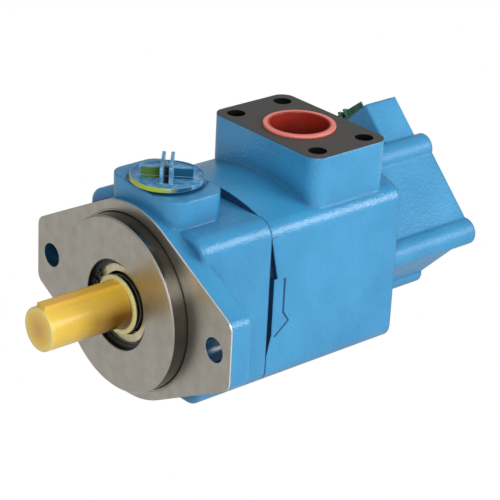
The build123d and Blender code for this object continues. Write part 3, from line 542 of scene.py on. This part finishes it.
# Dipped vinyl shaft cap: honey yellow, with painted shade low down and where it dips into the bore,
# painted shade at the end's centre, a painted highlight round the end, pale at its rim
capColours = {
    "body": "#DDB23C",
    "tip": "#E8C04A",
    "ridge": "#E2A836",
    # Painted shade low down and near the bore
    "lowShade": "#6A4403",
    # Painted shade at the centre of the end
    "centre": "#D29A4E",
    # Pale rim, also the colour of the painted highlight round the end
    "rim": "#DAD08C",
}
capSet = {
    "tip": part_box("shaft_cap")[0][1],
    "base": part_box("shaft_cap")[1][1],
    "swirlSize": 0.012,
    "swirlDepth": 0.0002,
    "tipSwirl": 0.006,
    "tipFade": (0.0, 0.03),
    "centreRadii": (0.009, 0.002),
    "centreDepth": (0.002, 0.001),
    "endHighlightRadii": (0.0095, 0.013),
    "endHighlightSoft": 0.001,
    "endHighlightDepth": (0.003, 0.0012),
    "endHighlightShare": 0.6,
    "lowShadeSwirl": 0.008,
    "lowShadeFade": (-0.034, -0.008),
    "lowShadeHeight": (0.0125, 0.0),
    "ridgeHeight": (0.0122, 0.0134),
    "ridgeHalf": (0.0044, 0.0038),
    "ridgeShare": 0.7,
    "rimRadius": (0.0139, 0.0149),
    "rimFade": (-0.002, -0.0012),
    "corner": 0.0016,
    "roughness": (0.3, 0.45),
    "vinyl": {
        "Subsurface Weight": 0.25,
        "Subsurface Radius": (0.004, 0.0025, 0.0008),
        "Subsurface Scale": 1.0,
        "Coat Weight": 0.25,
        "Coat Roughness": 0.22,
    },
}


def capMaterial(colours, where):
    """Colour runs along the cap, with painted shade low down near the bore, painted shade at the
    end's centre and a painted highlight round the end, with the ridge and rim apart.
    """
    material, tree, shader, place = newMaterial("dippedVinyl")
    x, y, z = axes(tree, place)
    swirl = noise(tree, place, where["swirlSize"], 3)
    fromAxis = distance(tree, x, z)

    along = calc(tree, "MULTIPLY_ADD", swirl, where["tipSwirl"], y)
    along = ramp(tree, along, *past(where["tip"], where["tipFade"]))
    colour = twoTone(tree, along, (colours["tip"], colours["body"]))

    # Painted shade at the centre of the end
    centre = both(tree, ramp(tree, fromAxis, *where["centreRadii"]),
                  ramp(tree, y, *past(where["tip"], where["centreDepth"])))
    colour = tint(tree, centre, colour, colours["centre"])

    # Painted highlight round the edge of the end
    endHighlight = both(tree, between(tree, fromAxis, *where["endHighlightRadii"], where["endHighlightSoft"]),
                ramp(tree, y, *past(where["tip"], where["endHighlightDepth"])))
    endHighlight = calc(tree, "MULTIPLY", endHighlight, where["endHighlightShare"])
    colour = tint(tree, endHighlight, colour, colours["rim"])

    # Painted shade low down and towards the bore
    inward = calc(tree, "MULTIPLY_ADD", swirl, where["lowShadeSwirl"], y)
    lowShade = both(tree, ramp(tree, inward, *past(where["base"], where["lowShadeFade"])),
                ramp(tree, z, *where["lowShadeHeight"]))
    colour = tint(tree, lowShade, colour, colours["lowShade"])

    ridge = both(tree, ramp(tree, z, *where["ridgeHeight"]),
                 ramp(tree, absolute(tree, x), *where["ridgeHalf"]))
    ridge = calc(tree, "MULTIPLY", ridge, where["ridgeShare"])
    colour = tint(tree, ridge, colour, colours["ridge"])

    rim = both(tree, ramp(tree, fromAxis, *where["rimRadius"]),
               ramp(tree, y, *past(where["base"], where["rimFade"])))
    feed(tree, shader, {
        "Base Color": tint(tree, rim, colour, colours["rim"]),
        "Roughness": spread(tree, swirl, where["roughness"]),
        "Normal": bumpy(tree, swirl, where["swirlDepth"], softCorners(tree, where["corner"], 8)),
        **where["vinyl"],
    })
    return material


dressNode("shaft_cap", capMaterial(capColours, capSet))


# Red inlet plug: pinker on the rim, with painted shade on the wall deepening to the floor of the
# cup
cupSet = {
    "rim": "#E57C70",
    # Painted shade on the cup's inner wall, darker still on its floor
    "wall": "#8E2416",
    "floor": "#5A140C",
    "top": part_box("inlet_plug")[1][2],
    "radius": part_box("inlet_plug")[1][0],
    "rimWidth": 0.0026,
    "rimFade": (-0.0004, 0.0),
    "floorShadeFade": (-0.003, -0.02),
    "cloudSize": 0.006,
    "cloudDepth": 0.00006,
    "corner": 0.0005,
    "roughness": (0.3, 0.45),
}


def cupMaterial(settings):
    """Painted shade darkens the colour from the rim down to the floor."""
    material, tree, shader, place = newMaterial("redPolyethylene")
    x, y, z = axes(tree, place)
    cloud = noise(tree, place, settings["cloudSize"], 3)
    fromAxis = distance(tree, x, calc(tree, "SUBTRACT", y, places["padStation"]))
    inside = settings["radius"] - settings["rimWidth"]
    rim = ramp(tree, fromAxis, *past(inside, settings["rimFade"]))
    colour = twoTone(tree, rim, (settings["wall"], settings["rim"]))
    # Painted shade, deepest at the cup's floor
    floor = ramp(tree, z, *past(settings["top"], settings["floorShadeFade"]))
    rounded = softCorners(tree, settings["corner"])
    feed(tree, shader, {
        "Base Color": tint(tree, floor, colour, settings["floor"]),
        "Roughness": spread(tree, cloud, settings["roughness"]),
        "Normal": bumpy(tree, cloud, settings["cloudDepth"], rounded),
    })
    return material


dressNode("inlet_plug", cupMaterial(cupSet))


# Translucent outlet plugs: light blue disc, painted highlights on the edges, a painted yellow-green
# glow at the near left rim, coloured windows where the fin is thin, and painted shade in the slot
# and under the disc
plugEdges = {"corner": 0.0006, "bend": (0.995, 0.93), "refraction": 1.5}
outletColours = {
    "disc": "#2C7FB8",
    # Light blue, mixed into the disc at random and laid on the edges as a painted highlight
    "edge": "#7CB8DC",
    # Painted glow of light through the plastic
    "paintedGlow": "#A9BE3A",
    "leftWindow": "#5B8024",
    "rightWindow": "#12709C",
    # Painted shade colour for the slot, under the disc and on one side of the windows
    "slot": "#0A2430",
}
frontPlug = {
    "box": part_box("front_outlet_plug"),
    "ribHeight": 0.0093,
    "finHeight": 0.0056,
    "discRadius": 0.0209,
    "turn": 48.0,
    "cloudSize": 0.004,
    "cloudRange": (0.35, 0.75),
    "upright": (0.6, 0.4),
    "level": (0.6, 0.9),
    "wallFade": (-0.0006, -0.001),
    "window": (0.0034, 0.0146),
    "windowSoft": 0.0004,
    "below": (0.0, 0.0042),
    "belowSoft": 0.0006,
    "belowFade": (0.001, 0.0006),
    "sideSwirl": 0.006,
    "sideFade": (-0.002, 0.008),
    "dimFade": (0.008, 0.003),
    "dimShare": 0.5,
    "slotHalf": (0.0018, 0.0015),
    "slotEnd": (0.0118, 0.0108),
    "edgeHighlightShare": 0.8,
    "paintedGlowRim": (-0.0016, -0.0008),
    "paintedGlowAim": (0.8, -0.6),
    "paintedGlowFade": (0.011, 0.018),
    "underShadeFade": (-0.0022, -0.003),
    "roughness": (0.08, 0.18),
    "transmission": 0.2,
}
rearPlug = {
    "colours": ("#1E4C46", "#2F6B52"),
    # Painted highlight colour for the edges
    "edge": "#79B08C",
    "cloudSize": 0.005,
    "cloudRange": (0.35, 0.65),
    "edgeHighlightShare": 0.7,
    "roughness": (0.15, 0.25),
}


def edgeHighlightMask(tree, rounded, flat, share):
    """Share of painted highlight where the rounded normal leans away from the face's own."""
    lean = addNode(tree, "VectorMath", links={0: rounded, 1: flat}, operation="DOT_PRODUCT")
    return calc(tree, "MULTIPLY", ramp(tree, lean.outputs["Value"], *plugEdges["bend"]), share)


def frontPlugMaterial(colours, where):
    """Windows by height and side, a painted glow by direction round the rim, painted highlights on
    the edges from the bevel, and painted shade in the slot, under the disc and on one side of the
    windows.
    """
    material, tree, shader, place = newMaterial("tealStyreneLarge")
    x, y, z = axes(tree, place)
    (left, front, low), (right, back, top) = where["box"]
    x = calc(tree, "SUBTRACT", x, (left + right) / 2)
    y = calc(tree, "SUBTRACT", y, (front + back) / 2)
    disc = top - where["ribHeight"]
    turn = math.radians(where["turn"])
    turnCos, turnSin = math.cos(turn), math.sin(turn)
    along = calc(tree, "MULTIPLY_ADD", x, turnCos, calc(tree, "MULTIPLY", y, turnSin))
    across = calc(tree, "MULTIPLY_ADD", x, turnSin, calc(tree, "MULTIPLY", y, -turnCos))
    reach = absolute(tree, along)
    cloud = noise(tree, place, where["cloudSize"], 2)
    flat = addNode(tree, "NewGeometry").outputs["Normal"]
    lean = axes(tree, flat)[2]

    wall = both(tree, ramp(tree, absolute(tree, lean), *where["upright"]),
                ramp(tree, z, *past(disc + where["finHeight"], where["wallFade"])))
    below = both(tree, ramp(tree, lean, *where["level"]),
                 between(tree, across, *where["below"], where["belowSoft"]),
                 ramp(tree, z, *past(disc, where["belowFade"])))
    window = both(tree, calc(tree, "MAXIMUM", wall, below),
                  between(tree, reach, *where["window"], where["windowSoft"]))
    side = calc(tree, "MULTIPLY_ADD", cloud, where["sideSwirl"], along)
    stain = twoTone(tree, ramp(tree, side, *where["sideFade"]),
                    (colours["leftWindow"], colours["rightWindow"]))
    # Painted shade dims the windows on one side
    dim = ramp(tree, calc(tree, "MULTIPLY", along, -1.0), *where["dimFade"])
    stain = blendColour(tree, dim, stain, tint(tree, where["dimShare"], stain, colours["slot"]))
    # Painted shade in the slot between the fin's plates
    slotShade = both(tree, ramp(tree, reach, *where["slotHalf"]),
               ramp(tree, absolute(tree, across), *where["slotEnd"]))

    rounded = softCorners(tree, plugEdges["corner"], 8)
    edge = edgeHighlightMask(tree, rounded, flat, where["edgeHighlightShare"])
    clouded = ramp(tree, cloud, *where["cloudRange"])
    colour = twoTone(tree, clouded, (colours["disc"], colours["edge"]))
    colour = blendColour(tree, window, colour, stain)
    colour = tint(tree, slotShade, colour, colours["slot"])
    # Painted highlight on the edges
    colour = tint(tree, edge, colour, colours["edge"])

    aimAcross, aimAlong = where["paintedGlowAim"]
    towards = calc(tree, "MULTIPLY_ADD", across, aimAcross, calc(tree, "MULTIPLY", along, aimAlong))
    radius = distance(tree, x, y)
    # Painted glow near the left rim
    paintedGlow = both(tree, ramp(tree, radius, *past(where["discRadius"], where["paintedGlowRim"])),
                ramp(tree, towards, *where["paintedGlowFade"]))
    colour = tint(tree, paintedGlow, colour, colours["paintedGlow"])
    # Painted shade under the disc
    underShade = ramp(tree, z, *past(disc, where["underShadeFade"]))
    feed(tree, shader, {
        "Base Color": tint(tree, underShade, colour, colours["slot"]),
        "Roughness": spread(tree, cloud, where["roughness"]),
        "IOR": plugEdges["refraction"],
        "Transmission Weight": where["transmission"],
        "Normal": rounded,
    })
    return material


def rearPlugMaterial(settings):
    """Dark green, with a painted highlight on the edges."""
    material, tree, shader, place = newMaterial("tealStyreneSmall")
    cloud = noise(tree, place, settings["cloudSize"], 2)
    rounded = softCorners(tree, plugEdges["corner"], 8)
    flat = addNode(tree, "NewGeometry").outputs["Normal"]
    edge = edgeHighlightMask(tree, rounded, flat, settings["edgeHighlightShare"])
    colour = twoTone(tree, ramp(tree, cloud, *settings["cloudRange"]), settings["colours"])
    feed(tree, shader, {
        "Base Color": tint(tree, edge, colour, settings["edge"]),
        "Roughness": spread(tree, cloud, settings["roughness"]),
        "IOR": plugEdges["refraction"],
        "Normal": rounded,
    })
    return material


dressNode("front_outlet_plug", frontPlugMaterial(outletColours, frontPlug))
dressNode("rear_outlet_plug", rearPlugMaterial(rearPlug))
print("plugs and cap dressed")


# Flow mark cast into the side: a thin sunk line, one half of an arrow's outline, drawn as a flat
# strip of painted shade, as (y, z)
arrowSet = {
    "path": ((0.0699, 0.0142), (0.0699, -0.0069), (0.0741, -0.0131), (0.0641, -0.0209)),
    "widths": (0.0017, 0.0013, 0.0012, 0.0012),
    "mitreLimit": 0.5,
    "face": places["sideFace"],
    "lift": 0.00004,
    # Dark enamel of the strip: painted shade of the groove
    "finish": {"colours": ("#0A3A62", "#0D4470"), "roughness": (0.5, 0.6),
               "metallic": 0.0, "grain": 0.002, "depth": 0.00001, "corner": 0.0001},
}


def buildRibbon(settings):
    """Mitred strip on the side face: p +- n w / (2 n.m), n the mean of the runs' normals m."""
    path = np.array(settings["path"])
    runs = np.diff(path, axis=0)
    runs /= np.linalg.norm(runs, axis=1)[:, None]
    normals = np.column_stack((-runs[:, 1], runs[:, 0]))
    mean = np.vstack((normals[:1], normals[:-1] + normals[1:], normals[-1:]))
    mean /= np.linalg.norm(mean, axis=1)[:, None]
    closeness = (mean * np.vstack((normals, normals[-1:]))).sum(1)
    stretch = 1 / np.clip(closeness, settings["mitreLimit"], 1)
    offset = mean * (np.array(settings["widths"]) / 2 * stretch)[:, None]
    sides = np.concatenate((path + offset, path - offset))
    height = settings["face"] + settings["lift"]
    points = [(height, y, z) for y, z in sides]
    count = len(path)
    faces = [(i, i + count, i + count + 1, i + 1) for i in range(count - 1)]
    mesh = bpy.data.meshes.new("flowMark")
    mesh.from_pydata(points, [], faces)
    if mesh.polygons[0].normal.x < 0:
        mesh.flip_normals()
    mark = bpy.data.objects.new("flowMark", mesh)
    bpy.context.scene.collection.objects.link(mark)
    return mark


flowMark = buildRibbon(arrowSet)
flowMark.data.materials.append(mottled("grooveShadeStrip", arrowSet["finish"]))
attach(flowMark, "housing")
print("flow mark drawn")


# White floor and room, with soft lights where the photograph has them
stageSet = {
    "floorSize": 3.0,
    "floorGap": 0.0002,
    "floorColour": "#E8E8E8",
    "floorShine": 0.72,
    "roomBase": 0.17,
}
# Broad lights of the room as (direction, start and end of the falloff, strength)
glows = (
    ((0.80, -0.52, 0.30), 0.25, 0.95, 0.72),
    ((-0.60, -0.60, 0.53), 0.55, 0.98, 0.3),
    ((-0.50, 0.84, 0.10), 0.45, 0.95, 0.35),
)
lampAim = (0, 0.08, 0.02)
lamps = {
    "keyLamp": {"place": (0.95, -0.45, 0.55), "size": 0.5, "power": 6.0},
    "rimLamp": {"place": (0.84, 0.81, 0.46), "size": 0.52, "power": 7.6},
    "topLamp": {"place": (0.1, 0.25, 1.2), "size": 0.8, "power": 1.5},
}
white = (1, 1, 1, 1)


def buildFloor(settings):
    """Floor that the camera sees as plain white and metal sees as a soft shine."""
    half = settings["floorSize"]
    low = boundsAtLoad[0][2] - settings["floorGap"]
    mesh = bpy.data.meshes.new("floor")
    corners = [(-half, -half, low), (half, -half, low), (half, half, low), (-half, half, low)]
    mesh.from_pydata(corners, [], [(0, 1, 2, 3)])
    floor = bpy.data.objects.new("floor", mesh)
    bpy.context.scene.collection.objects.link(floor)
    material = bpy.data.materials.new("whiteFloor")
    material.use_nodes = True
    tree = material.node_tree
    tree.nodes.clear()
    rays = addNode(tree, "LightPath").outputs
    matt = addNode(tree, "BsdfDiffuse", {"Color": srgb(settings["floorColour"])}).outputs[0]
    plain, shine = (
        addNode(tree, "Emission", {"Color": white, "Strength": strength}).outputs[0]
        for strength in (1.0, settings["floorShine"])
    )
    lit = addNode(tree, "MixShader", links={0: rays["Is Glossy Ray"], 1: matt, 2: shine}).outputs[0]
    seen = addNode(tree, "MixShader", links={0: rays["Is Camera Ray"], 1: lit, 2: plain}).outputs[0]
    addNode(tree, "OutputMaterial", links={"Surface": seen})
    mesh.materials.append(material)


def buildRoom(settings):
    """Room that the camera sees as plain white, with broad soft lights for every other ray."""
    world = bpy.data.worlds.new("softRoom")
    world.use_nodes = True
    tree = world.node_tree
    tree.nodes.clear()
    rays = addNode(tree, "LightPath").outputs
    towards = addNode(tree, "TexCoord").outputs["Generated"]
    level = settings["roomBase"]
    for direction, start, end, strength in glows:
        aim = addNode(tree, "VectorMath", {1: tuple(Vector(direction).normalized())}, {0: towards},
                      operation="DOT_PRODUCT").outputs["Value"]
        level = calc(tree, "MULTIPLY_ADD", ramp(tree, aim, start, end), strength, level)
    level = blend(tree, rays["Is Camera Ray"], level, 1.0)
    sky = addNode(tree, "Background", {"Color": white}, {"Strength": level})
    addNode(tree, "OutputWorld", links={"Surface": sky.outputs[0]})
    bpy.context.scene.world = world


def addLamp(name, settings):
    """Square soft lamp aimed at the object."""
    data = bpy.data.lights.new(name, "AREA")
    data.size = settings["size"]
    data.energy = settings["power"]
    lamp = bpy.data.objects.new(name, data)
    place = Vector(settings["place"])
    aim = (Vector(lampAim) - place).to_track_quat("-Z", "Y")
    lamp.matrix_world = Matrix.Translation(place) @ aim.to_matrix().to_4x4()
    bpy.context.scene.collection.objects.link(lamp)


buildFloor(stageSet)
buildRoom(stageSet)
for lampName, lampSettings in lamps.items():
    addLamp(lampName, lampSettings)
print("stage and lamps set")
